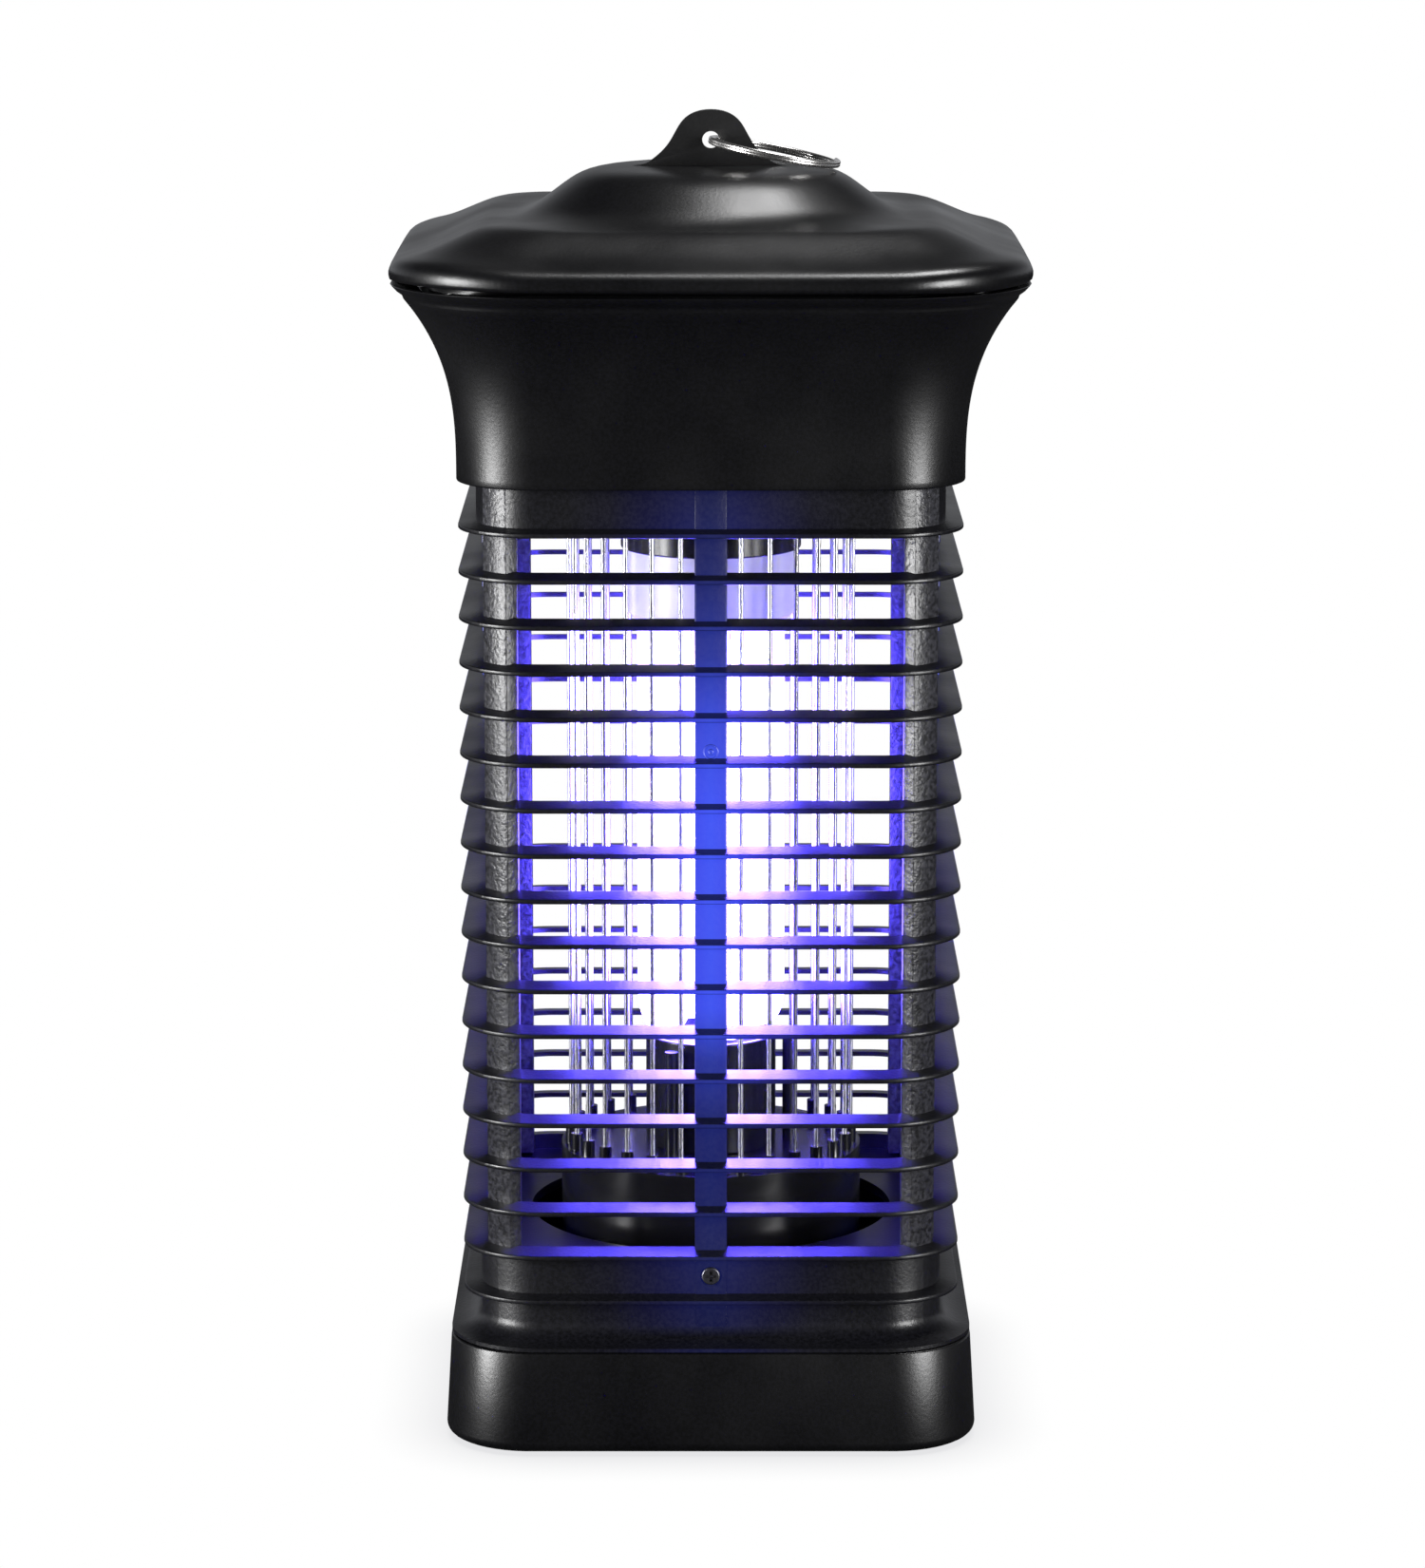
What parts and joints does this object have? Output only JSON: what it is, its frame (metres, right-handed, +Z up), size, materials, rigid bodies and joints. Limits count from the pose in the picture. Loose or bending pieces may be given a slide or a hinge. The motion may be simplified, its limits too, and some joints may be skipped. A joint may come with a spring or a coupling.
{
  "type": "electric insect killer",
  "caption": "Square louvred lantern with a lit folded lamp inside a ring of upright wires, flared housing, domed roof with a hanging ring, and a pull-off tray.",
  "frame": {"origin": "centre of the surface that the foot pads stand on", "axes": "+Z up, -Y the front, +X to the right seen from the front"},
  "size_m": [0.1534, 0.1534, 0.3199],
  "materials": {
    "black_abs": "fine spark-eroded texture, satin",
    "cage_abs": "fine spark-eroded texture, satin",
    "black_pbt": "smooth moulded",
    "black_bakelite": "polished moulded",
    "white_pbt": "smooth moulded",
    "soft_rubber": "matt moulded",
    "zinc_steel": "zinc plated",
    "bright_steel": "drawn and nickel plated",
    "nickelled_brass": "spun shell, nickelled",
    "black_steel": "powder coated",
    "lamp_glass": "lit ultraviolet fluorescent tube",
    "board_laminate": "solder mask",
    "transformer_tape": "polyester tape",
    "capacitor_sleeve": "shrink sleeve"
  },
  "bodies": {
    "lantern": {"cage_front": "cage_abs", "cage_right": "cage_abs", "cage_back": "cage_abs", "cage_left": "cage_abs", "cage_columns": "cage_abs", "cage_screws": "black_steel", "floor_plate": "black_abs", "lower_insulator": "black_pbt", "drum_skirt": "black_pbt", "drum_arms": "black_pbt", "live_wires": "bright_steel", "return_wires": "bright_steel", "live_contact_ring": "bright_steel", "return_contact_ring": "bright_steel", "upper_insulator": "black_pbt", "lamp_rest": "black_pbt", "lamp_pegs": "black_pbt", "lamp_ballast": "white_pbt", "lamp_screw_cap": "nickelled_brass", "lamp_holder": "black_bakelite", "lamp_tubes": "lamp_glass", "upper_housing": "black_abs", "deck_plate": "black_abs", "roof_cap": "black_abs", "hanger_plate": "black_steel", "roof_screws": "zinc_steel", "hanger_screws": "zinc_steel", "circuit_board": "board_laminate", "board_posts": "white_pbt", "board_screws": "zinc_steel", "step_up_transformer": "transformer_tape", "capacitors": "capacitor_sleeve", "terminal_block": "white_pbt", "cord_inlet": "soft_rubber"},
    "tray": {"collecting_tray": "black_abs", "foot_pads": "soft_rubber"},
    "ring": {"split_ring": "bright_steel"}
  },
  "joints": [
    {"name": "tray_pull", "type": "slide", "parent": "lantern", "child": "tray", "axis": [0, 0, -1], "range_m": [0, 0.045]},
    {"name": "ring_swing", "type": "hinge", "parent": "lantern", "child": "ring", "pos_m": [0, 0, 0.3126], "axis": [0, -1, 0], "range_deg": [0, 202]}
  ]
}
